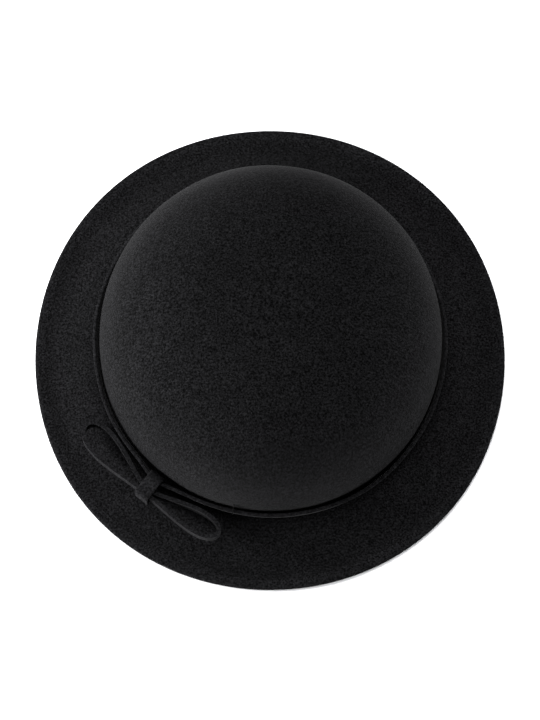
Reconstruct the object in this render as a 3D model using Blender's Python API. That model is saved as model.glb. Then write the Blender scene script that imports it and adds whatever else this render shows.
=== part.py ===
"""Bowler hat in black wool felt: blocked crown, wired brim with a turned hem, felt band and felt bow.

Metres, +Z up, front of the hat towards -Y. The hat stands on its hem, on the plane z = 0.
"""

import math

import bmesh
import bpy
from mathutils import Matrix, Vector

MM = 0.001

# The crown: an upright wall behind the band, then a rounded dome
CROWN_R = 92.8 * MM
CROWN_BACK = 3.8 * MM  # the crown's axis stands this far behind the brim's centre
CROWN_FELT = 1.6 * MM
DOME_Z = 29.0 * MM
DOME_RISE = 95.0 * MM
DOME_ROUND_OUT = 3.0
DOME_ROUND_UP = 2.4
DOME_STEPS = 9

# The brim: a soft S from the headline down to a turned hem that holds a wire
HEADLINE_Z = 17.0 * MM
BRIM_FELT = 1.8 * MM
FALL_START_R = 95.0 * MM
FALL_END_R = 121.0 * MM
FALL_END_Z = 3.8 * MM
FALL_STRAIGHT = 0.35  # the share of the fall that is a straight slope
BRIM_SWELL = 1.1 * MM  # the outline stands this far out of a circle on its diagonals
WIRE_R = 126.3 * MM
WIRE_Z = 2.5 * MM
EDGE_HALF = 2.5 * MM  # half the hem's thickness at the wire
CHANNEL_HALF = 1.25 * MM
WIRE_HALF = 0.55 * MM
HEM_FELT = 1.4 * MM
HEM_END_R = 120.3 * MM
STITCH_R = 122.5 * MM
STITCH_GROOVE = 0.4 * MM  # half the width of the furrow that a seam pulls into the felt
COLLAR_R = 89.6 * MM  # inside of the collar that turns up into the crown
COLLAR_FELT = 1.3 * MM
COLLAR_TOP_Z = 27.0 * MM

# The band: a felt strip on edge, leaning out towards its top and standing out behind the bow
BAND_Z = (17.3 * MM, 28.3 * MM)
BAND_FOOT_R = 93.3 * MM
BAND_HEAD_R = 94.8 * MM
BAND_FELT = 1.7 * MM
BAND_BULGE = 2.2 * MM
BULGE_SPREAD = 6.0  # degrees

# The bow, at the wearer's right front
BOW_ANGLE = 230.8
BOW_R = 106.4 * MM
BOW_Z = (18.0 * MM, 27.0 * MM)
BOW_FELT = 2.0 * MM
LOOP_PINCH = 1.1 * MM
LEFT_LENGTH, LEFT_SWELL, LEFT_LEAN = 48.0 * MM, 10.0 * MM, 9.5
RIGHT_LENGTH, RIGHT_SWELL, RIGHT_LEAN = 44.7 * MM, 8.3 * MM, 9.0
KNOT_WIDTH = 8.6 * MM

# Inside the crown
SWEATBAND_R = 88.7 * MM
SWEATBAND_RIBBON = 0.6 * MM
SWEATBAND_Z = (15.2 * MM, 40.2 * MM)
BACK_ANGLE = 90.0

GAP = 0.3 * MM
THREAD_HALF = 0.2 * MM
STEP = 6.0  # degrees between the stops of a turned shape


def clear_scene():
    for old in list(bpy.data.objects):
        bpy.data.objects.remove(old)


def material(name, color, roughness, metallic=0.0):
    made = bpy.data.materials.new(name)
    made.use_nodes = True
    shader = made.node_tree.nodes["Principled BSDF"]
    shader.inputs["Base Color"].default_value = (*color, 1.0)
    shader.inputs["Roughness"].default_value = roughness
    shader.inputs["Metallic"].default_value = metallic
    return made


def finish(name, mesh, surface):
    """Turns the faces outwards, shades the round ones smooth, and puts the object in the scene."""
    bmesh.ops.remove_doubles(mesh, verts=mesh.verts, dist=0.001 * MM)
    bmesh.ops.recalc_face_normals(mesh, faces=mesh.faces)
    data = bpy.data.meshes.new(name)
    mesh.to_mesh(data)
    mesh.free()
    data.shade_smooth()
    data.set_sharp_from_angle(angle=math.radians(40))
    data.materials.append(surface)
    made = bpy.data.objects.new(name, data)
    bpy.context.scene.collection.objects.link(made)
    return made


def bridged(name, loops, surface, ring=False, open_section=False):
    """One body through loops of points, joined end to end in a ring or capped at both ends."""
    mesh = bmesh.new()
    rows = [[mesh.verts.new(point) for point in loop] for loop in loops]
    count = len(rows[0])
    for here, there in zip(rows, rows[1:] + rows[:1] if ring else rows[1:]):
        for i in range(count - open_section):
            j = (i + 1) % count
            mesh.faces.new((here[i], here[j], there[j], there[i]))
    if not ring:
        mesh.faces.new(rows[0])
        mesh.faces.new(rows[-1])
    return finish(name, mesh, surface)


def on_hat(radius, height, angle):
    """A point of the hat: round the crown's axis inside, and round the brim's own centre outside."""
    out = min(max((radius - CROWN_R) / (FALL_END_R - CROWN_R), 0.0), 1.0)
    turn = math.radians(angle)
    reach = radius + out * BRIM_SWELL * (1 - math.cos(4 * turn)) / 2
    back = CROWN_BACK * (1 - out)
    return (reach * math.cos(turn), back + reach * math.sin(turn), height)


def stops(start, end, also=()):
    """The angles from start to end at which a turned shape has a section."""
    first, last = math.floor(start / STEP) + 1, math.ceil(end / STEP)
    between = {STEP * i for i in range(first, last)} | set(also)
    return [start, *sorted(between), end]


def turned(name, section, surface, open_section=False):
    """The section, as (radius, height) points, carried all the way round the hat."""
    angles = [STEP * i for i in range(round(360 / STEP))]
    loops = [[on_hat(r, z, angle) for r, z in section] for angle in angles]
    return bridged(name, loops, surface, ring=True, open_section=open_section)


def part_turned(name, section, surface, start, end, also=()):
    loops = [[on_hat(r, z, angle) for r, z in section] for angle in stops(start, end, also)]
    return bridged(name, loops, surface)


def slit_ring(name, section, surface, angle, also=()):
    """A strip that goes all the way round and whose two ends nearly meet at the angle."""
    half_slit = 0.2
    return part_turned(name, section, surface, angle + half_slit, angle + 360 - half_slit, also)


def arc(center_r, center_z, half, angles):
    return [
        (center_r + half * math.cos(math.radians(a)), center_z + half * math.sin(math.radians(a)))
        for a in angles
    ]


def thread_section(radius, height, half=THREAD_HALF):
    return arc(radius, height, half, (0, 90, 180, 270))


def dome(radius, rise):
    """The dome's profile from its foot to its crest, a rounded square bent into a bowl."""
    points = []
    for i in range(DOME_STEPS + 1):
        turn = math.radians(90 * i / DOME_STEPS)
        out = max(math.cos(turn), 0.0) ** (2 / DOME_ROUND_OUT)
        up = math.sin(turn) ** (2 / DOME_ROUND_UP)
        points.append((radius * out if i < DOME_STEPS else 0.0, DOME_Z + rise * up))
    return points


def make_crown(felt):
    foot_z = HEADLINE_Z + GAP
    inside = dome(CROWN_R - CROWN_FELT, DOME_RISE - CROWN_FELT)
    outside = dome(CROWN_R, DOME_RISE)
    foot = [(CROWN_R - CROWN_FELT, foot_z), (CROWN_R, foot_z)]
    turned("crown", inside[::-1] + foot + outside, felt, open_section=True)


def fall(radius):
    """Height of the brim's upper face on its way from the headline to the hem."""
    t = (radius - FALL_START_R) / (FALL_END_R - FALL_START_R)
    share = FALL_STRAIGHT * t + (1 - FALL_STRAIGHT) * t * t * (3 - 2 * t)
    return HEADLINE_Z - (HEADLINE_Z - FALL_END_Z) * share


def furrow(top, depth):
    """The furrow of a seam, from the crown's side outwards."""
    low, high = STITCH_R - STITCH_GROOVE, STITCH_R + STITCH_GROOVE
    return [(low, top), (low, top - depth), (high, top - depth), (high, top)]


def make_brim(felt):
    """Collar, fall, seam furrow, edge folded round the wire, and the hem turned in under the brim."""
    slope = [101.0 * MM, 107.0 * MM, 113.0 * MM, 119.0 * MM]
    outer_collar = COLLAR_R + COLLAR_FELT
    upper = [(COLLAR_R, COLLAR_TOP_Z), (outer_collar, COLLAR_TOP_Z), (outer_collar, HEADLINE_Z)]
    upper += [(FALL_START_R, HEADLINE_Z)] + [(r, fall(r)) for r in slope]
    upper += [(FALL_END_R, FALL_END_Z)] + furrow(3.75 * MM, 0.6 * MM)
    upper += [(WIRE_R - 1.9 * MM, 3.95 * MM)]
    edge = arc(WIRE_R, WIRE_Z, EDGE_HALF, (105, 60, 20, -20, -55, -90))
    under = furrow(0.0, -0.8 * MM)[::-1] + [(HEM_END_R, 0.0), (HEM_END_R, HEM_FELT)]
    channel = arc(WIRE_R, WIRE_Z, CHANNEL_HALF, (-90, -30, 30, 90))
    lining = [(WIRE_R - 1.0 * MM, 3.0 * MM), (WIRE_R - 1.9 * MM, 2.1 * MM), (FALL_END_R, 1.9 * MM)]
    lining += [(r, fall(r) - BRIM_FELT) for r in slope[::-1]]
    lining += [(FALL_START_R, HEADLINE_Z - BRIM_FELT), (COLLAR_R + 1.6 * MM, HEADLINE_Z - BRIM_FELT)]
    lining += [(COLLAR_R, HEADLINE_Z - 0.4 * MM)]
    turned("brim", upper + edge + under + channel + lining, felt)


def make_brim_wire(steel, brass):
    """The wire ring in the hem, and the split sleeve crimped over its two ends at the back."""
    near = 3.0
    also = (BACK_ANGLE + near, BACK_ANGLE + 360 - near)
    wire = arc(WIRE_R, WIRE_Z, WIRE_HALF, range(0, 360, 60))
    slit_ring("brim_wire", wire, steel, BACK_ANGLE, also)
    bore, wall = WIRE_HALF + 0.1 * MM, WIRE_HALF + 0.3 * MM
    sleeve = arc(WIRE_R, WIRE_Z, wall, range(-150, 151, 50))
    sleeve += arc(WIRE_R, WIRE_Z, bore, range(150, -151, -50))
    part_turned("wire_ferrule", sleeve, brass, BACK_ANGLE - near, BACK_ANGLE + near)


def make_seams(thread):
    """Upper and lower thread of the hem's seam, the headline's thread and the sweatband's."""
    turned("hem_topstitch", thread_section(STITCH_R, 3.55 * MM, 0.3 * MM), thread)
    turned("hem_bobbin_thread", thread_section(STITCH_R, 0.45 * MM, 0.25 * MM), thread)
    turned("headline_thread", thread_section(CROWN_R + 0.45 * MM, 20.0 * MM), thread)
    turned("sweatband_thread", thread_section(SWEATBAND_R - 0.4 * MM, 18.0 * MM), thread)


def bulge(angle):
    """How far the bow pulls the band out from the crown at an angle."""
    away = (angle - BOW_ANGLE + 180) % 360 - 180
    return BAND_BULGE * math.exp(-((away / BULGE_SPREAD) ** 2))


def make_band(felt):
    low, high = BAND_Z
    half_slit = 0.2
    loops = []
    near_bow = [BOW_ANGLE + away for away in (3, 6, 9, 12, 348, 351, 354, 357)]
    for angle in stops(BOW_ANGLE + half_slit, BOW_ANGLE + 360 - half_slit, near_bow):
        foot, head = BAND_FOOT_R + bulge(angle), BAND_HEAD_R + bulge(angle)
        section = [(foot, low), (foot + BAND_FELT, low), (head + BAND_FELT, high), (head, high)]
        loops.append([on_hat(r, z, angle) for r, z in section])
    bridged("hat_band", loops, felt)


def strap(name, path, half_width, place, surface):
    """A felt strip along a path of (a, b, thickness), given its width and turned into the hat by place."""
    loops = []
    for i, (a, b, thick) in enumerate(path):
        before, after = path[max(i - 1, 0)], path[min(i + 1, len(path) - 1)]
        along = math.hypot(after[0] - before[0], after[1] - before[1])
        side_a = (before[1] - after[1]) / along * thick / 2
        side_b = (after[0] - before[0]) / along * thick / 2
        loops.append(
            [
                place(a + side_a, b + side_b, -half_width),
                place(a - side_a, b - side_b, -half_width),
                place(a - side_a, b - side_b, half_width),
                place(a + side_a, b + side_b, half_width),
            ]
        )
    return bridged(name, loops, surface)


def make_bow_loop(name, felt, side, length, swell, lean):
    """A teardrop loop of felt on edge: both ends pinched under the knot, its axis leaning towards the crown."""
    half = []
    for i in range(13):
        turn = math.pi * i / 12
        share = math.sin(turn / 2) ** 2
        half.append((2 * GAP + length * share, LOOP_PINCH * math.cos(turn / 2) + swell * math.sin(turn) * share))
    there = [(along, across, BOW_FELT) for along, across in half]
    back = [(along, -across, BOW_FELT) for along, across in half[-2::-1]]
    out = Vector((math.cos(math.radians(BOW_ANGLE)), math.sin(math.radians(BOW_ANGLE)), 0))
    beside = Vector((-out.y, out.x, 0)) * side
    turned_in = Matrix.Rotation(side * math.radians(lean), 3, "Z")
    middle = Vector((0, CROWN_BACK, (BOW_Z[0] + BOW_Z[1]) / 2)) + out * BOW_R

    def place(along, across, up):
        return middle + turned_in @ (beside * along + out * across) + Vector((0, 0, up))

    strap(name, there + back, (BOW_Z[1] - BOW_Z[0]) / 2, place, felt)


def make_bow_knot(felt):
    """The strip that binds the bow: tucked behind the band, over its top, down the bow and back under."""
    out = math.radians(BOW_ANGLE)
    thick = 1.6
    route = [
        (95.35, 25.0, 0.8),
        (95.7, 28.4, 1.4),
        (96.3, 29.3, thick),
        (97.6, 29.6, thick),
        (99.6, 29.5, thick),
        (102.6, 28.5, thick),
        (108.7, 28.2, thick),
        (109.9, 27.2, thick),
        (109.9, 17.6, thick),
        (109.1, 16.7, thick),
        (102.8, 16.7, thick),
        (102.0, 17.5, thick),
        (102.0, 25.0, thick),
    ]

    def place(reach, up, across):
        x = reach * math.cos(out) - across * math.sin(out)
        y = CROWN_BACK + reach * math.sin(out) + across * math.cos(out)
        return (x, y, up)

    path = [(reach * MM, up * MM, depth * MM) for reach, up, depth in route]
    strap("bow_knot", path, KNOT_WIDTH / 2, place, felt)


def make_thread(name, points, half, thread):
    """A short length of thread through the points, with closed ends."""
    curve = bpy.data.curves.new(name, "CURVE")
    curve.dimensions = "3D"
    curve.bevel_depth = half
    curve.bevel_resolution = 1
    curve.use_fill_caps = True
    spline = curve.splines.new("POLY")
    spline.points.add(len(points) - 1)
    for spot, point in zip(spline.points, points):
        spot.co = (*point, 1.0)
    curve.materials.append(thread)
    made = bpy.data.objects.new(name, curve)
    bpy.context.scene.collection.objects.link(made)


def make_band_tack(name, angle, thread):
    """A stitch over the band's top edge that holds it to the crown."""
    foot = BAND_Z[1] - 4.0 * MM
    head = BAND_Z[1] + 0.6 * MM
    inner, outer = CROWN_R + 1.0 * MM, BAND_HEAD_R + BAND_FELT + 0.5 * MM
    route = [(inner, foot), (inner, head), (outer, head), (outer, foot + 0.8 * MM)]
    make_thread(name, [on_hat(r, z, angle) for r, z in route], 0.25 * MM, thread)


def make_sweatband(ribbon, thread, tape):
    low, high = SWEATBAND_Z
    inner, outer = SWEATBAND_R, SWEATBAND_R + SWEATBAND_RIBBON
    slit_ring("sweatband", [(inner, low), (outer, low), (outer, high), (inner, high)], ribbon, BACK_ANGLE)
    seam_r = SWEATBAND_R - 0.4 * MM
    seam = [on_hat(seam_r, low + 4.0 * MM, BACK_ANGLE), on_hat(seam_r, high - 2.0 * MM, BACK_ANGLE)]
    make_thread("sweatband_seam_thread", seam, THREAD_HALF, thread)
    face, back = SWEATBAND_R - 0.65 * MM, SWEATBAND_R - GAP
    z_low, z_high = low + 5.0 * MM, low + 19.0 * MM
    label = [(face, z_low), (back, z_low), (back, z_high), (face, z_high)]
    part_turned("blank_label", label, tape, BACK_ANGLE + 6, BACK_ANGLE + 24)


def main():
    clear_scene()
    felt = material("black_wool_felt", (0.012, 0.012, 0.013), 0.95)
    ribbon = material("black_grosgrain", (0.010, 0.010, 0.011), 0.75)
    thread = material("black_thread", (0.016, 0.016, 0.017), 0.7)
    tape = material("blank_woven_tape", (0.055, 0.055, 0.058), 0.8)
    steel = material("spring_steel", (0.42, 0.42, 0.43), 0.35, 1.0)
    brass = material("crimped_brass", (0.62, 0.46, 0.22), 0.35, 1.0)
    make_crown(felt)
    make_brim(felt)
    make_brim_wire(steel, brass)
    make_seams(thread)
    make_band(felt)
    make_bow_loop("bow_loop_left", felt, -1, LEFT_LENGTH, LEFT_SWELL, LEFT_LEAN)
    make_bow_loop("bow_loop_right", felt, 1, RIGHT_LENGTH, RIGHT_SWELL, RIGHT_LEAN)
    make_bow_knot(felt)
    make_band_tack("band_tack_front", 258.0, thread)
    make_band_tack("band_tack_back", 84.0, thread)
    make_sweatband(ribbon, thread, tape)


main()
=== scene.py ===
"""Bowler hat in black wool felt: its finished felt, seams, ribbon and studio.

Metres, +Z up, front of the hat towards -Y.
"""

import math
import random

import bpy
from mathutils import Matrix, Vector


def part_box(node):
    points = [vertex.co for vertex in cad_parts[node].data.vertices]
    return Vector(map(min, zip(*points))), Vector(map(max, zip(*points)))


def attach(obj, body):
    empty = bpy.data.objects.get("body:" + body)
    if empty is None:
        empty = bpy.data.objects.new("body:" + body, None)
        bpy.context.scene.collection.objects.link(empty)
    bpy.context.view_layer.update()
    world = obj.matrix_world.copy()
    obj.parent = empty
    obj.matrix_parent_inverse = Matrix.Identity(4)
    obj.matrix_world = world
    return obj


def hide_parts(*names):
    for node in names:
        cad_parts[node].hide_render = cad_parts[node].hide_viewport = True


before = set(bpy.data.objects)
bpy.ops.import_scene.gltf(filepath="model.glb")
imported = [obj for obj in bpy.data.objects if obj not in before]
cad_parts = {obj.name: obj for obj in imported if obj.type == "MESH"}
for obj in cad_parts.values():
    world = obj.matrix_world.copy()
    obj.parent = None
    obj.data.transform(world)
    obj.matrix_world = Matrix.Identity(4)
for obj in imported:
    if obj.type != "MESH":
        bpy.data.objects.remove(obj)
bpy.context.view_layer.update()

MM = 0.001


def middle(node):
    """A node's half width, the y of its middle, its lowest and its highest z."""
    low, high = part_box(node)
    return (high.x - low.x) / 2, (high.y + low.y) / 2, low.z, high.z


# Sizes and places from the frame
CROWN_R, CROWN_BACK, CROWN_FOOT, CROWN_TOP = middle("crown")
SEAM_R = middle("hem_topstitch")[0] - 0.3 * MM
BAND_FOOT, BAND_HEAD = middle("hat_band")[2:]
RIBBON_R, _, RIBBON_FOOT, RIBBON_HEAD = middle("sweatband")
BOW_FOOT, BOW_HEAD = middle("bow_loop_left")[2:]

# The crown's shape: an upright wall to DOME_FOOT, then a dome rounded by these two powers
CROWN_FELT = 1.6 * MM
CROWN_SEGMENTS = 180
CROWN_WALL_ROW = CROWN_FOOT + 6 * MM
DOME_FOOT = 29.0 * MM
DOME_ROUND_OUT = 3.0
DOME_ROUND_UP = 2.4
DOME_STEPS = 44
CROWN_LEAN = (0.4 * MM, -0.6 * MM)
CROWN_WAVES = (45 * MM, 0.25 * MM)  # size and depth

# The brim's shape: a collar inside the crown, a fall to the seam, and a hem rolled round the wire
BRIM_SEGMENTS = 240
HEADLINE = 17.0 * MM
FALL_START_R = 95.0 * MM
FALL_END_R = 121.0 * MM
FALL_END = 5.15 * MM
FALL_STRAIGHT = 0.35
SWELL = 1.1 * MM
WIRE_R = 126.3 * MM
EDGE_HALF = 2.5 * MM
HEM_END_R = 120.3 * MM
COLLAR_R = 90.9 * MM
COLLAR_TOP = 27.0 * MM
COLLAR_MIDDLE = 22.0 * MM
COLLAR_FOOT = HEADLINE + 0.7 * MM
COLLAR_BEND = 0.5 * MM
EDGE_ROUND = 0.7
# Painted highlight: between these two radii the felt's colour is painted up to 1.4 times paler, all
# round the brim's outer edge and hem
HEM_HIGHLIGHT_FROM_R = 121.3 * MM
HEM_HIGHLIGHT_R = 123.8 * MM
EDGE_START = 104  # degrees
EDGE_SWEEP = 194  # degrees
EDGE_STEPS = 14
FALL_STEPS = 22
BRIM_FELT = 1.4 * MM

# The furrows that the hem's seam pulls in, as radius and height in millimetres
UPPER_FURROW = (
    (121.0, 5.15),
    (121.8, 5.1),
    (122.2, 5.02),
    (122.5, 4.97),
    (122.8, 5.01),
    (123.2, 5.07),
    (123.9, 5.07),
)
LOWER_FURROW = (
    (124.5, 0.0),
    (123.3, 0.0),
    (122.8, 0.12),
    (122.5, 0.22),
    (122.2, 0.12),
    (121.7, 0.0),
    (121.0, 0.0),
)

# The seams: stitch pitch and thread thickness, and how high each seam runs
HEM_STITCH = (2.35 * MM, 0.38 * MM)
HEADLINE_STITCH = (3.0 * MM, 0.36 * MM)
RIBBON_STITCH = (2.6 * MM, 0.34 * MM)
UPPER_SEAM = 4.98 * MM
LOWER_SEAM = 0.2 * MM
HEADLINE_SEAM = 20.0 * MM
RIBBON_SEAM = 18.0 * MM
STITCH_SKEW = 4  # degrees
STITCH_SHARE = 0.9  # of the pitch
STITCH_CUTS = (-0.36, -0.14, 0.14, 0.36)
STITCH_NARROWS = 0.45
STITCH_FLATTENS = 0.3
STITCH_DIVES = 1.3

# The band's shape: it bulges over the knot's tucked end and hangs a little slack at the front right
BAND_FELT = 1.7 * MM
BAND_SEGMENTS = 360
BAND_STEPS = 5
BAND_SLIT = math.radians(1.2)
BAND_ROUND = 0.4 * MM
BAND_FOOT_R = 95.0 * MM
BAND_HEAD_R = 96.5 * MM
BULGE = 2.2 * MM
BULGE_SPREAD = math.radians(6)
SLACK = 0.6 * MM
SLACK_TURN = math.radians(305)
SLACK_SPREAD = math.radians(28)
WAVE_OUT = 0.16 * MM
RIPPLE_OUT = 0.12 * MM
WAVE_UP = 0.15 * MM
CUT_EDGE = {"segments": 3, "limit_method": "ANGLE", "angle_limit": math.radians(50)}

# The bow's shape
BOW_TURN = math.radians(230.8)
BOW_R = 106.4 * MM
BOW_FELT = 2.1 * MM
LOOP_PINCH = 1.1 * MM
LOOP_START = 0.6 * MM
LOOP_STEPS = 40
STRIP_WAVES = (6 * MM, 0.09 * MM)  # size and depth
STRIP_ROUND = 0.36

# Each bow loop: its name, its side, its length and swell, its lean in degrees and its plain node
BOW_LOOPS = (
    ("bow_loop_left_felt", -1, 48.0 * MM, 10.0 * MM, 9.5, "bow_loop_left"),
    ("bow_loop_right_felt", 1, 44.7 * MM, 8.3 * MM, 9.0, "bow_loop_right"),
)

# The knot's strip from behind the band, over it and the bow, and back underneath, in millimetres
KNOT_ROUTE = (
    (95.5, 25.2),
    (96.0, 29.4),
    (99.8, 29.6),
    (103.0, 28.5),
    (109.8, 28.2),
    (110.0, 16.8),
    (102.1, 16.8),
    (102.1, 25.0),
)
KNOT_WIDTH = 8.6 * MM
KNOT_FELT = 1.5 * MM
KNOT_ROUND = 1.3 * MM

# The tacks' thread
TACK_R = 0.34 * MM
TACK_SIDES = 8
TACK_ROUND = 0.8 * MM

# Inside the crown
BACK_TURN = math.radians(90)
RIBBON_INNER_R = RIBBON_R - 0.6 * MM
RIBBON_MIDDLE_R = RIBBON_INNER_R + 0.3 * MM
RIBBON_STITCH_R = RIBBON_INNER_R - 0.12 * MM
RIBBON_CLOTH = 0.4 * MM
RIBBON_SLIT = math.radians(0.4)
RIBBON_ROWS = (0, 0.25, 0.8, 6, 12.5, 19, 24.2, 24.75, 25.0)  # millimetres up
RIBS, SEGMENTS_PER_RIB = 560, 4
RIB_DEPTH = 0.1 * MM
RIB_FADE = 0.8 * MM
RIBBON_EASE = 0.12 * MM
END_SEAM_FOOT = RIBBON_FOOT + 4.6 * MM
END_SEAM_HEAD = RIBBON_HEAD - 2.0 * MM
END_SEAM_STITCHES = 8
LABEL_START = BACK_TURN + math.radians(6)
LABEL_SWEEP = math.radians(18)
LABEL_R = RIBBON_INNER_R - 0.42 * MM
LABEL_CLOTH = 0.18 * MM
LABEL_FOLD = 0.14 * MM
LABEL_FOLD_SHARE = 0.06
LABEL_WEAVE = 0.02 * MM
LABEL_LIFT = 0.1 * MM
LABEL_SAG = 0.12 * MM

# The studio: each light's name, place, size and power, and where the camera stands
HAT_MIDDLE = (0, 0, 0.06)
LIGHTS = (
    ("top", (-0.08, 0.7, 2.1), 1.6, 82),
    ("key", (-1.5, 0.0, 0.4), 0.8, 80),
    ("key_front", (-1.23, -0.86, 0.36), 0.8, 20),
    ("fill", (1.48, -0.25, 0.4), 0.8, 25),
)
SURROUND_LIGHT = 0.105
FLOOR_SIZE = 6.0
FLOOR_HEIGHT = -0.2 * MM
CAMERA_ELEVATION = math.radians(77.7)
CAMERA_AWAY = 2.5
CAMERA_LENS = 229.2  # millimetres
CAMERA_AIM = (0, -4.2 * MM, HEADLINE)

rng = random.Random(11)


# ---------------------------------------------------------------- materials


class Finish:
    """A material's nodes, with its shader's fixed values set on its own sockets."""

    def __init__(self, name, roughness, specular=0.1, metallic=0.0):
        self.material = bpy.data.materials.new(name)
        self.material.use_nodes = True
        self.nodes = self.material.node_tree.nodes
        self.links = self.material.node_tree.links
        self.shader = self.nodes["Principled BSDF"]
        self.set("Roughness", roughness)
        self.set("Specular IOR Level", specular)
        self.set("Metallic", metallic)
        self.place = self.nodes.new("ShaderNodeTexCoord").outputs["Object"]

    def set(self, socket, value):
        self.shader.inputs[socket].default_value = value

    def sheen(self, weight, roughness, tint):
        self.set("Sheen Weight", weight)
        self.set("Sheen Roughness", roughness)
        self.set("Sheen Tint", (*tint, 1.0))

    def noise(self, scale, detail=3.0, rough=0.6, squash=None):
        """Noise of this many features to a metre, times squash along each axis."""
        made = self.nodes.new("ShaderNodeTexNoise")
        made.inputs["Scale"].default_value = scale
        made.inputs["Detail"].default_value = detail
        made.inputs["Roughness"].default_value = rough
        source = self.place
        if squash:
            scaled = self.nodes.new("ShaderNodeMapping")
            scaled.inputs["Scale"].default_value = squash
            self.links.new(source, scaled.inputs["Vector"])
            source = scaled.outputs["Vector"]
        self.links.new(source, made.inputs["Vector"])
        return made.outputs["Fac"]

    def ramp(self, source, stops):
        """The colours of the stops, each (spot, colour), picked by the source."""
        made = self.nodes.new("ShaderNodeValToRGB")
        points = made.color_ramp.elements
        while len(points) < len(stops):
            points.new(0.5)
        for point, (spot, color) in zip(points, stops):
            point.position = spot
            point.color = (*color, 1.0)
        self.links.new(source, made.inputs["Fac"])
        return made.outputs["Color"]

    def from_axis(self):
        """The distance from the hat's upright axis, in metres."""
        flat = self.nodes.new("ShaderNodeMapping")
        flat.inputs["Scale"].default_value = (1, 1, 0)
        self.links.new(self.place, flat.inputs["Vector"])
        made = self.nodes.new("ShaderNodeVectorMath")
        made.operation = "LENGTH"
        self.links.new(flat.outputs["Vector"], made.inputs[0])
        return made.outputs["Value"]

    def mix(self, how, share, a, b):
        """Two colours blended, b over a by this share."""
        made = self.nodes.new("ShaderNodeMix")
        made.data_type = "RGBA"
        made.blend_type = how
        made.inputs["Factor"].default_value = share
        self.links.new(a, made.inputs["A"])
        self.links.new(b, made.inputs["B"])
        return made.outputs["Result"]

    def color(self, source):
        self.links.new(source, self.shader.inputs["Base Color"])

    def bump(self, layers):
        """Bumps of (height source, depth in metres, strength), one on top of another."""
        below = None
        for source, depth, strength in layers:
            made = self.nodes.new("ShaderNodeBump")
            made.inputs["Distance"].default_value = depth
            made.inputs["Strength"].default_value = strength
            self.links.new(source, made.inputs["Height"])
            if below:
                self.links.new(below, made.inputs["Normal"])
            below = made.outputs["Normal"]
        self.links.new(below, self.shader.inputs["Normal"])


def grey(value):
    """A grey with a trace of blue."""
    return (value, value, value * 1.02)


def felt_finish(name, tone, sheen, contrast):
    """Wool felt: fibre ends a millimetre apart, clouds of nap, a faint sheen, and a painted
    highlight towards the brim's outer edge.
    """
    felt = Finish(name, roughness=1.0, specular=0.02)
    grain = felt.noise(1050, detail=1.5, rough=0.5, squash=(1.0, 1.0, 0.35))
    hairs = felt.noise(520, detail=4.0, rough=0.7, squash=(1.0, 2.0, 0.6))
    fluff = felt.noise(2600, detail=2.0, rough=0.6)
    nap = felt.noise(60, detail=3.0, rough=0.6)
    dark, pale = grey((1 - contrast) * tone), grey((1 + contrast) * tone)
    speckle = felt.ramp(grain, ((0.34, dark), (0.66, pale)))
    strands = felt.ramp(hairs, ((0.36, grey(0.55)), (0.66, grey(1.35))))
    clouds = felt.ramp(nap, ((0.3, grey(0.88)), (0.7, grey(1.12))))
    # Painted highlight: the felt is painted paler towards the brim's outer edge, up to 1.4 times at
    # the hem
    painted_hem_highlight = felt.ramp(felt.from_axis(), ((HEM_HIGHLIGHT_FROM_R, grey(1.0)), (HEM_HIGHLIGHT_R, grey(1.4))))
    matted = felt.mix("MULTIPLY", 1.0, felt.mix("MULTIPLY", 1.0, speckle, strands), clouds)
    felt.color(felt.mix("MULTIPLY", 1.0, matted, painted_hem_highlight))
    felt.sheen(sheen, 0.4, grey(0.9))
    felt.bump(
        (
            (nap, 0.0006, 0.25),
            (grain, 0.0004, contrast),
            (hairs, 0.0003, 0.5),
            (fluff, 0.0001, 0.5),
        )
    )
    return felt.material


def thread_finish():
    """Black thread, dull, its ply a little paler on the ridges."""
    thread = Finish("spun_black_thread", roughness=0.8, specular=0.03)
    ply = thread.noise(2200, detail=2.0, squash=(1.0, 1.0, 2.2))
    thread.color(thread.ramp(ply, ((0.3, grey(0.001)), (0.7, grey(0.0038)))))
    thread.sheen(0.006, 0.4, grey(0.9))
    thread.bump(((ply, 0.00015, 0.6),))
    return thread.material


def ribbon_finish():
    """Black grosgrain with a slight lustre. Its ribs are in the mesh."""
    ribbon = Finish("black_grosgrain", roughness=0.6, specular=0.3)
    weave = ribbon.noise(3200, detail=2.0, squash=(1.0, 1.0, 0.35))
    cloud = ribbon.noise(45, detail=2.0)
    tone = ribbon.ramp(weave, ((0.3, grey(0.006)), (0.7, grey(0.018))))
    fade = ribbon.ramp(cloud, ((0.3, grey(0.8)), (0.7, grey(1.1))))
    ribbon.color(ribbon.mix("MULTIPLY", 1.0, tone, fade))
    ribbon.sheen(0.15, 0.4, grey(0.9))
    ribbon.bump(((weave, 0.00012, 0.5),))
    return ribbon.material


def tape_finish():
    """The label's dark grey woven tape."""
    tape = Finish("blank_woven_tape", roughness=0.7, specular=0.25)
    weave = tape.noise(2600, detail=2.0, squash=(1.0, 1.0, 3.0))
    tape.color(tape.ramp(weave, ((0.3, grey(0.04)), (0.7, grey(0.09)))))
    tape.sheen(0.2, 0.4, grey(0.9))
    tape.bump(((weave, 0.0001, 0.5),))
    return tape.material


def metal_finish(name, tint, roughness):
    """Bare metal, a little darker in spots."""
    metal = Finish(name, roughness=roughness, specular=0.5, metallic=1.0)
    drawn = metal.noise(1500, detail=3.0)
    dim = tuple(0.75 * part for part in tint)
    metal.color(metal.ramp(drawn, ((0.3, dim), (0.7, tint))))
    metal.bump(((drawn, 0.00005, 0.3),))
    return metal.material


# ---------------------------------------------------------------- modelling helpers


def only(piece):
    """Selects this piece alone and makes it the active one."""
    bpy.ops.object.select_all(action="DESELECT")
    piece.select_set(True)
    bpy.context.view_layer.objects.active = piece


def edit(piece, act):
    """Runs act on the piece in edit mode."""
    only(piece)
    bpy.ops.object.mode_set(mode="EDIT")
    act()
    bpy.ops.object.mode_set(mode="OBJECT")


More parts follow.
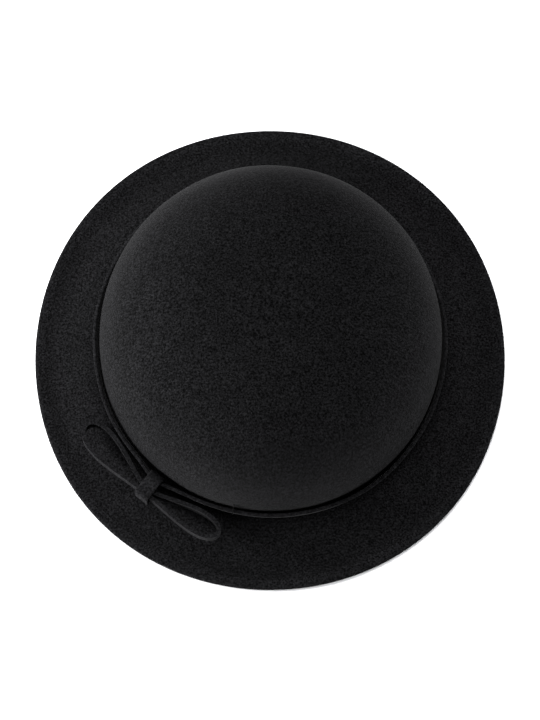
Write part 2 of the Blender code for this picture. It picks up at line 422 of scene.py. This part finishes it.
def named(name):
    """Names the piece just made and settles its place in its mesh."""
    piece = bpy.context.object
    piece.name = piece.data.name = name
    bpy.ops.object.transform_apply(location=True, rotation=True, scale=True)
    return piece


def modify(piece, kind, **settings):
    """Adds a modifier and applies it."""
    only(piece)
    made = piece.modifiers.new(kind, kind)
    for name, value in settings.items():
        setattr(made, name, value)
    bpy.ops.object.modifier_apply(modifier=made.name)


def face_outwards(piece):
    """Merges doubled points and turns every face outwards."""

    def act():
        bpy.ops.mesh.select_all(action="SELECT")
        bpy.ops.mesh.remove_doubles(threshold=0.00001)
        bpy.ops.mesh.normals_make_consistent(inside=False)

    edit(piece, act)


def smooth(piece, degrees=50):
    only(piece)
    bpy.ops.object.shade_smooth_by_angle(angle=math.radians(degrees))


def pick_none(piece):
    for part in (*piece.data.vertices, *piece.data.edges, *piece.data.polygons):
        part.select = False


def pick_points(piece, wanted):
    """Selects the points that wanted says yes to, and nothing else."""
    pick_none(piece)
    for vertex in piece.data.vertices:
        vertex.select = wanted(vertex.co)


def pick_faces(piece, wanted):
    """Selects the faces that wanted says yes to, and nothing else."""
    pick_none(piece)
    for face in piece.data.polygons:
        if wanted(face):
            face.select = True
            for index in face.vertices:
                piece.data.vertices[index].select = True


def turned(name, line, segments, closed_top=False):
    """A circle at the line's first (radius, height), extruded ring by ring along the line."""
    radius, height = line[0]
    bpy.ops.object.select_all(action="DESELECT")
    bpy.ops.mesh.primitive_circle_add(vertices=segments, radius=radius, location=(0, 0, height))
    piece = named(name)

    def act():
        last_radius, last_height = radius, height
        for next_radius, next_height in line[1:]:
            rise = {"value": (0, 0, next_height - last_height)}
            bpy.ops.mesh.extrude_region_move(TRANSFORM_OT_translate=rise)
            ratio = next_radius / last_radius
            bpy.ops.transform.resize(value=(ratio, ratio, 1), center_override=(0, 0, next_height))
            last_radius, last_height = next_radius, next_height
        if closed_top:
            bpy.ops.mesh.extrude_region_move()
            bpy.ops.mesh.merge(type="CENTER")

    edit(piece, act)
    face_outwards(piece)
    return piece


def angle_of(point):
    """A point's angle round the axis, from 0 to a full turn."""
    return math.atan2(point.y, point.x) % (2 * math.pi)


def seat(piece):
    """Moves a piece turned on the axis to its place on the hat."""
    for vertex in piece.data.vertices:
        radius = math.hypot(vertex.co.x, vertex.co.y)
        turn = math.atan2(vertex.co.y, vertex.co.x)
        vertex.co.x, vertex.co.y = on_hat(radius, turn)
    piece.data.update()


def on_hat(radius, turn):
    """This place as x and y on the hat.

    The crown sits back of the brim's middle, and the brim swells on its diagonals.
    """
    out = min(max((radius - CROWN_R) / (FALL_END_R - CROWN_R), 0.0), 1.0)
    reach = radius + out * SWELL * (1 - math.cos(4 * turn)) / 2
    return reach * math.cos(turn), CROWN_BACK * (1 - out) + reach * math.sin(turn)


def uneven(piece, size, depth):
    """Handmade unevenness: waves of about this size and at most about this deep."""
    waves = bpy.data.textures.new(piece.name + "_waves", "CLOUDS")
    waves.noise_scale = size
    waves.noise_depth = 1
    modify(piece, "DISPLACE", texture=waves, strength=2 * depth, mid_level=0.5)


def done(piece, material, slot, *nodes):
    """Gives a finished piece its material, and puts it on the hat in place of the plain nodes."""
    piece.data.materials.clear()
    piece.data.materials.append(material)
    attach(piece, "root")
    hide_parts(*nodes)
    return piece


# ---------------------------------------------------------------- crown and brim


def dome_line():
    """The crown's outer face from its foot up the wall and over the dome, short of the very top."""
    rise = CROWN_TOP - DOME_FOOT
    line = [(CROWN_R, CROWN_FOOT), (CROWN_R, CROWN_WALL_ROW), (CROWN_R, DOME_FOOT)]
    for i in range(1, DOME_STEPS):
        turn = math.pi / 2 * i / DOME_STEPS
        out = math.cos(turn) ** (2 / DOME_ROUND_OUT)
        up = math.sin(turn) ** (2 / DOME_ROUND_UP)
        line.append((CROWN_R * out, DOME_FOOT + rise * up))
    return line


def make_crown(felt):
    """The blocked crown, which leans a little where the band hides it."""
    piece = turned("crown_felt", dome_line(), CROWN_SEGMENTS, closed_top=True)
    uneven(piece, *CROWN_WAVES)
    modify(piece, "SOLIDIFY", thickness=CROWN_FELT, offset=-1, use_even_offset=True)
    seat(piece)
    for vertex in piece.data.vertices:
        share = min(max((vertex.co.z - BAND_FOOT) / (BAND_HEAD - BAND_FOOT), 0.0), 1.0)
        vertex.co.x += share * CROWN_LEAN[0]
        vertex.co.y += share * CROWN_LEAN[1]
    smooth(piece)
    done(piece, felt, "felt", "crown")


def fall(radius):
    """The brim's height at this radius: an S-shaped fall, straightened a little."""
    t = (radius - FALL_START_R) / (FALL_END_R - FALL_START_R)
    share = FALL_STRAIGHT * t + (1 - FALL_STRAIGHT) * t * t * (3 - 2 * t)
    return HEADLINE - (HEADLINE - FALL_END) * share


def blunt(value):
    """A sine or cosine with its size raised to a power, which makes a circle squarer."""
    return math.copysign(abs(value) ** EDGE_ROUND, value)


def in_metres(line):
    return [(radius * MM, height * MM) for radius, height in line]


def brim_line():
    """The felt's outer face: down the collar and the brim, round the wire and back under the hem."""
    line = [(COLLAR_R, COLLAR_TOP), (COLLAR_R, COLLAR_MIDDLE), (COLLAR_R, COLLAR_FOOT)]
    for angle in (200, 225, 250, 270):
        turn = math.radians(angle)
        radius = COLLAR_R + COLLAR_BEND * (1 + math.cos(turn))
        line.append((radius, HEADLINE + COLLAR_BEND * (1 + math.sin(turn))))
    for i in range(FALL_STEPS):
        radius = FALL_START_R + (FALL_END_R - FALL_START_R) * i / FALL_STEPS
        line.append((radius, fall(radius)))
    line += in_metres(UPPER_FURROW)
    for i in range(EDGE_STEPS + 1):
        turn = math.radians(EDGE_START - EDGE_SWEEP * i / EDGE_STEPS)
        out, up = blunt(math.cos(turn)), blunt(math.sin(turn))
        line.append((WIRE_R + EDGE_HALF * out, EDGE_HALF + EDGE_HALF * up))
    line += in_metres(LOWER_FURROW)
    line.append((HEM_END_R, 0.0))
    return line


def make_brim(felt):
    """The brim with its collar and its turned hem, in one felt."""
    piece = turned("brim_felt", brim_line(), BRIM_SEGMENTS)
    modify(piece, "SOLIDIFY", thickness=BRIM_FELT, offset=-1, use_even_offset=True)
    seat(piece)
    smooth(piece)
    done(piece, felt, "felt", "brim")


# ---------------------------------------------------------------- seams


def one_stitch(length, thick):
    """A stitch along X whose two ends dive out of sight."""
    bpy.ops.object.select_all(action="DESELECT")
    lying = (0, math.pi / 2, 0)
    bpy.ops.mesh.primitive_cylinder_add(vertices=6, radius=thick / 2, depth=length, rotation=lying)
    piece = named("stitch")

    def act():
        for cut in STITCH_CUTS:
            bpy.ops.mesh.select_all(action="SELECT")
            bpy.ops.mesh.bisect(plane_co=(cut * length, 0, 0), plane_no=(1, 0, 0))

    edit(piece, act)
    for vertex in piece.data.vertices:
        end = (abs(vertex.co.x) / (length / 2)) ** 4
        vertex.co.y *= 1 - STITCH_NARROWS * end
        vertex.co.z = vertex.co.z * (1 - STITCH_FLATTENS * end) - STITCH_DIVES * thick * end
    return piece


def sewn(name, model, places, material, node):
    """One piece of copies of the model, each put at a place given as (point, along, lift)."""
    copies = []
    for point, along, lift in places:
        copy = model.copy()
        copy.data = model.data.copy()
        bpy.context.scene.collection.objects.link(copy)
        axes = Matrix((along, lift.cross(along), lift)).transposed().to_4x4()
        copy.matrix_world = Matrix.Translation(point) @ axes
        copies.append(copy)
    bpy.data.objects.remove(model)
    bpy.ops.object.select_all(action="DESELECT")
    for copy in copies:
        copy.select_set(True)
    bpy.context.view_layer.objects.active = copies[0]
    bpy.ops.object.join()
    piece = named(name)
    smooth(piece)
    return done(piece, material, "thread", node)


def stitch_ring(name, radius, height, pitch, thick, up, material, node):
    """Stitches all round the hat, which face outwards and upwards by the two shares in up."""
    count = round(2 * math.pi * radius / pitch)
    places = []
    for i in range(count):
        turn = 2 * math.pi * (i + 0.5) / count
        out = Vector((math.cos(turn), math.sin(turn), 0))
        along = Vector((-out.y, out.x, 0))
        lift = (out * up[0] + Vector((0, 0, up[1]))).normalized()
        along.rotate(Matrix.Rotation(math.radians(rng.uniform(-STITCH_SKEW, STITCH_SKEW)), 3, lift))
        places.append((Vector((*on_hat(radius, turn), height)), along, lift))
    sewn(name, one_stitch(pitch * STITCH_SHARE, thick), places, material, node)


def make_seams(thread):
    """The hem's two threads, the headline's thread and the ribbon's."""
    upper, lower = (SEAM_R, UPPER_SEAM), (SEAM_R, LOWER_SEAM)
    headline, ribbon = (CROWN_R + 0.1 * MM, HEADLINE_SEAM), (RIBBON_STITCH_R, RIBBON_SEAM)
    rings = (
        ("hem_upper_stitches", *upper, *HEM_STITCH, (0, 1), "hem_topstitch"),
        ("hem_lower_stitches", *lower, *HEM_STITCH, (0, -1), "hem_bobbin_thread"),
        ("headline_stitches", *headline, *HEADLINE_STITCH, (1, 0), "headline_thread"),
        ("ribbon_stitches", *ribbon, *RIBBON_STITCH, (-1, 0), "sweatband_thread"),
    )
    for name, radius, height, pitch, thick, up, node in rings:
        stitch_ring(name, radius, height, pitch, thick, up, thread, node)


# ---------------------------------------------------------------- band and bow


def make_band(felt):
    """The felt band: a cut strip on edge that leans out, its ends meeting behind the knot."""
    rise = (BAND_HEAD - BAND_FOOT) / BAND_STEPS
    lean = (BAND_HEAD_R - BAND_FOOT_R) / BAND_STEPS
    line = [(BAND_FOOT_R + lean * i, BAND_FOOT + rise * i) for i in range(BAND_STEPS + 1)]
    piece = turned("band_felt", line, BAND_SEGMENTS)
    pick_faces(piece, lambda face: abs(angle_of(face.center) - BOW_TURN) < BAND_SLIT / 2)
    edit(piece, lambda: bpy.ops.mesh.delete(type="FACE"))
    for vertex in piece.data.vertices:
        turn = angle_of(vertex.co)
        up = (vertex.co.z - BAND_FOOT) / (BAND_HEAD - BAND_FOOT)
        bulge = BULGE * math.exp(-(((turn - BOW_TURN) / BULGE_SPREAD) ** 2))
        bulge += SLACK * (1.3 - 0.3 * up) * math.exp(-(((turn - SLACK_TURN) / SLACK_SPREAD) ** 2))
        stand = WAVE_OUT * math.sin(5 * turn + 0.8) + RIPPLE_OUT * math.sin(11 * turn)
        stretch = 1 + (bulge + up * stand) / BAND_HEAD_R
        vertex.co.x *= stretch
        vertex.co.y *= stretch
        vertex.co.z += up * WAVE_UP * math.sin(7 * turn + 2.0)
    modify(piece, "SOLIDIFY", thickness=BAND_FELT, offset=-1, use_even_offset=True)
    modify(piece, "BEVEL", width=BAND_ROUND, **CUT_EDGE)
    seat(piece)
    smooth(piece)
    done(piece, felt, "felt", "hat_band")


def felt_strip(name, path, across, width, thick, material, node):
    """A cut felt strip whose middle follows the path and whose width lies along across."""
    bpy.ops.object.select_all(action="DESELECT")
    bpy.ops.mesh.primitive_plane_add(size=width)
    piece = named(name)
    pick_points(piece, lambda point: point.y > 0)
    edit(piece, lambda: bpy.ops.mesh.delete(type="VERT"))
    for vertex, side in zip(piece.data.vertices, (-0.5, 0.5)):
        vertex.co = path[0] + across * width * side

    def act():
        bpy.ops.mesh.select_all(action="SELECT")
        for here, there in zip(path, path[1:]):
            bpy.ops.mesh.extrude_region_move(TRANSFORM_OT_translate={"value": there - here})

    edit(piece, act)
    face_outwards(piece)
    modify(piece, "SUBSURF", subdivision_type="SIMPLE", levels=1, render_levels=1)
    modify(piece, "SOLIDIFY", thickness=thick, offset=0, use_even_offset=True)
    modify(piece, "BEVEL", width=STRIP_ROUND * thick, **CUT_EDGE)
    modify(piece, "SUBSURF", levels=1, render_levels=1)
    uneven(piece, *STRIP_WAVES)
    smooth(piece)
    return done(piece, material, "felt", node)


def make_bow_loop(name, felt, side, length, swell, lean, node):
    """A teardrop loop of felt on edge, pinched at the knot, its axis leaning towards the crown."""
    out = Vector((math.cos(BOW_TURN), math.sin(BOW_TURN), 0))
    beside = Vector((-out.y, out.x, 0)) * side
    turned_in = Matrix.Rotation(side * math.radians(lean), 3, "Z")
    middle_point = Vector((0, CROWN_BACK, (BOW_FOOT + BOW_HEAD) / 2)) + out * BOW_R
    path = []
    for i in range(2 * LOOP_STEPS + 1):
        turn = math.pi * i / LOOP_STEPS
        share = math.sin(turn / 2) ** 2
        along = LOOP_START + length * share
        across = LOOP_PINCH * math.cos(turn / 2) + swell * math.sin(turn) * share
        path.append(middle_point + turned_in @ (beside * along + out * across))
    felt_strip(name, path, Vector((0, 0, 1)), BOW_HEAD - BOW_FOOT, BOW_FELT, felt, node)


def rounded(corners, reach, steps=5):
    """The corners' path with each inner corner rounded over this reach."""
    nearly_half = 0.45
    path = [corners[0]]
    for before, corner, after in zip(corners, corners[1:], corners[2:]):
        back = min(reach, (before - corner).length * nearly_half)
        ahead = min(reach, (after - corner).length * nearly_half)
        start = corner + (before - corner).normalized() * back
        end = corner + (after - corner).normalized() * ahead
        for i in range(steps + 1):
            t = i / steps
            path.append(start * (1 - t) ** 2 + corner * 2 * t * (1 - t) + end * t * t)
    path.append(corners[-1])
    return path


def make_knot(felt):
    """The strip that binds the bow, tucked in behind the band."""
    out = Vector((math.cos(BOW_TURN), math.sin(BOW_TURN), 0))
    back = Vector((0, CROWN_BACK, 0))
    corners = [back + out * reach * MM + Vector((0, 0, up * MM)) for reach, up in KNOT_ROUTE]
    across = Vector((-out.y, out.x, 0))
    path = rounded(corners, KNOT_ROUND)
    felt_strip("bow_knot_felt", path, across, KNOT_WIDTH, KNOT_FELT, felt, "bow_knot")


def make_tack(name, degrees, thread, node):
    """A thread loop over the band's top edge that holds it to the crown."""
    turn = math.radians(degrees)
    inner, outer = CROWN_R + 1.0 * MM, BAND_HEAD_R + 0.5 * MM
    corners = [
        (inner - 2.1 * MM, BAND_HEAD + 7.1 * MM),
        (inner, BAND_HEAD + 6.5 * MM),
        (inner, BAND_HEAD + 0.8 * MM),
        (outer, BAND_HEAD + 0.7 * MM),
        (outer - 0.3 * MM, BAND_HEAD - 1.6 * MM),
    ]
    corners = [Vector((*on_hat(radius, turn), height)) for radius, height in corners]
    path = rounded(corners, TACK_ROUND, 4)
    ring = {"vertices": TACK_SIDES, "radius": TACK_R, "fill_type": "NGON"}
    bpy.ops.object.select_all(action="DESELECT")
    bpy.ops.mesh.primitive_circle_add(location=path[0], **ring)
    piece = named(name)

    def act():
        bpy.ops.mesh.select_all(action="SELECT")
        for here, there in zip(path, path[1:]):
            bpy.ops.mesh.extrude_region_move(TRANSFORM_OT_translate={"value": there - here})

    edit(piece, act)
    side = Vector((-math.sin(turn), math.cos(turn), 0))
    for i, point in enumerate(path):
        before, after = path[max(i - 1, 0)], path[min(i + 1, len(path) - 1)]
        lift = (after - before).normalized().cross(side)
        for j in range(TACK_SIDES):
            around = 2 * math.pi * j / TACK_SIDES
            offset = side * math.cos(around) + lift * math.sin(around)
            piece.data.vertices[TACK_SIDES * i + j].co = point + offset * TACK_R
    face_outwards(piece)
    smooth(piece)
    done(piece, thread, "thread", node)


# ---------------------------------------------------------------- inside the crown


def make_ribbon(ribbon):
    """The ribbed ribbon that touches the head, its ends meeting at the back."""
    line = [(RIBBON_MIDDLE_R, RIBBON_FOOT + height * MM) for height in RIBBON_ROWS]
    piece = turned("sweatband_ribbon", line, RIBS * SEGMENTS_PER_RIB)
    pick_faces(piece, lambda face: abs(angle_of(face.center) - BACK_TURN) < RIBBON_SLIT / 2)
    edit(piece, lambda: bpy.ops.mesh.delete(type="FACE"))
    for vertex in piece.data.vertices:
        turn = angle_of(vertex.co)
        from_foot, from_head = vertex.co.z - RIBBON_FOOT, RIBBON_HEAD - vertex.co.z
        rib = RIB_DEPTH * math.cos(RIBS * turn) * min(min(from_foot, from_head) / RIB_FADE, 1.0)
        ease = RIBBON_EASE * math.sin(3 * turn + 1.1) * from_foot / (RIBBON_HEAD - RIBBON_FOOT)
        stretch = 1 + (rib + ease) / RIBBON_R
        vertex.co.x *= stretch
        vertex.co.y *= stretch
    modify(piece, "SOLIDIFY", thickness=RIBBON_CLOTH, offset=0)
    seat(piece)
    smooth(piece, 70)
    done(piece, ribbon, "ribbon", "sweatband")


def make_ribbon_seam(thread):
    """The upright row of stitches that joins the ribbon's ends."""
    rise = END_SEAM_HEAD - END_SEAM_FOOT
    lift = Vector((-math.cos(BACK_TURN), -math.sin(BACK_TURN), 0))
    spot = on_hat(RIBBON_STITCH_R, BACK_TURN)
    places = []
    for i in range(END_SEAM_STITCHES):
        height = END_SEAM_FOOT + rise * (i + 0.5) / END_SEAM_STITCHES
        along = Vector((0.06 * rng.uniform(-1, 1), 0, 1)).normalized()
        places.append((Vector((*spot, height)), along, lift))
    stitch = one_stitch(0.85 * rise / END_SEAM_STITCHES, RIBBON_STITCH[1])
    sewn("ribbon_seam_stitches", stitch, places, thread, "sweatband_seam_thread")


def make_label(tape):
    """A blank woven label lying on the ribbon beside its seam, its two ends folded under."""
    low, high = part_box("blank_label")
    foot, head = low.z, high.z
    bpy.ops.object.select_all(action="DESELECT")
    bpy.ops.mesh.primitive_grid_add(x_subdivisions=72, y_subdivisions=30, size=1)
    piece = named("label_tape")
    for vertex in piece.data.vertices:
        across, up = vertex.co.x + 0.5, vertex.co.y + 0.5
        from_end = min(across, 1 - across)
        fold = LABEL_FOLD * max(0.0, 1 - (from_end / LABEL_FOLD_SHARE) ** 2)
        weave = LABEL_WEAVE * math.sin(36 * math.pi * across) * math.sin(15 * math.pi * up)
        lift = LABEL_LIFT * math.sin(math.pi * across) * up
        x, y = on_hat(LABEL_R - fold - weave - lift, LABEL_START + LABEL_SWEEP * across)
        vertex.co = (x, y, foot + (head - foot) * up + LABEL_SAG * math.sin(5 * across + 1))
    modify(piece, "SOLIDIFY", thickness=LABEL_CLOTH, offset=0)
    face_outwards(piece)
    smooth(piece)
    done(piece, tape, "label", "blank_label")


def refinish(node, material):
    """Gives a node that keeps its own shape its real material."""
    for slot in bpy.data.objects[node].material_slots:
        slot.material = material


# ---------------------------------------------------------------- studio


def make_floor():
    """A white paper floor just below the brim."""
    floor = Finish("white_paper", roughness=0.9, specular=0.1)
    fibre = floor.noise(900, detail=3.0)
    floor.color(floor.ramp(fibre, ((0.3, grey(0.90)), (0.7, grey(0.93)))))
    bpy.ops.object.select_all(action="DESELECT")
    bpy.ops.mesh.primitive_plane_add(size=FLOOR_SIZE, location=(0, 0, FLOOR_HEIGHT))
    piece = named("floor")
    piece.data.materials.append(floor.material)


def make_light(name, at, size, power):
    """A round soft light that faces the hat."""
    data = bpy.data.lights.new(name, "AREA")
    data.shape = "DISK"
    data.size = size
    data.energy = power
    lamp = bpy.data.objects.new(name, data)
    bpy.context.scene.collection.objects.link(lamp)
    lamp.location = at
    lamp.rotation_euler = (Vector(HAT_MIDDLE) - Vector(at)).to_track_quat("-Z", "Y").to_euler()


def make_studio():
    """Even white light all round, and the lights."""
    world = bpy.data.worlds.new("studio")
    bpy.context.scene.world = world
    world.use_nodes = True
    shade = world.node_tree.nodes["Background"]
    shade.inputs["Color"].default_value = (1, 1, 1, 1)
    shade.inputs["Strength"].default_value = SURROUND_LIGHT
    for name, at, size, power in LIGHTS:
        make_light(name, at, size, power)
    bpy.context.scene.view_settings.view_transform = "Standard"


def make_camera():
    """A long lens that looks down at the hat from just in front of it."""
    direction = Vector((0, -math.cos(CAMERA_ELEVATION), math.sin(CAMERA_ELEVATION)))
    data = bpy.data.cameras.new("camera")
    data.lens = CAMERA_LENS
    camera = bpy.data.objects.new("camera", data)
    bpy.context.scene.collection.objects.link(camera)
    camera.location = Vector(CAMERA_AIM) + direction * CAMERA_AWAY
    camera.rotation_euler = (math.pi / 2 - CAMERA_ELEVATION, 0, 0)
    bpy.context.scene.camera = camera


def main():
    make_camera()
    make_studio()
    make_floor()
    felt = felt_finish("black_wool_felt", 0.0032, 0.0172, 0.88)
    # The band and bow's felt is painted nearly twice as pale as the hat's: partly cut felt's own
    # fuzzier tone, partly a painted highlight for the strips' lit top edges
    strip_felt = felt_finish("cut_wool_felt_partly_highlit", 0.006, 0.019, 0.55)
    thread = thread_finish()
    make_crown(felt)
    make_brim(felt)
    make_seams(thread)
    make_band(strip_felt)
    for name, side, length, swell, lean, node in BOW_LOOPS:
        make_bow_loop(name, strip_felt, side, length, swell, lean, node)
    make_knot(strip_felt)
    make_tack("front_tack", 258, thread, "band_tack_front")
    make_tack("back_tack", 84, thread, "band_tack_back")
    make_ribbon(ribbon_finish())
    make_ribbon_seam(thread)
    make_label(tape_finish())
    refinish("brim_wire", metal_finish("drawn_spring_steel", (0.42, 0.42, 0.43), 0.35))
    refinish("wire_ferrule", metal_finish("crimped_brass", (0.62, 0.46, 0.22), 0.3))


main()
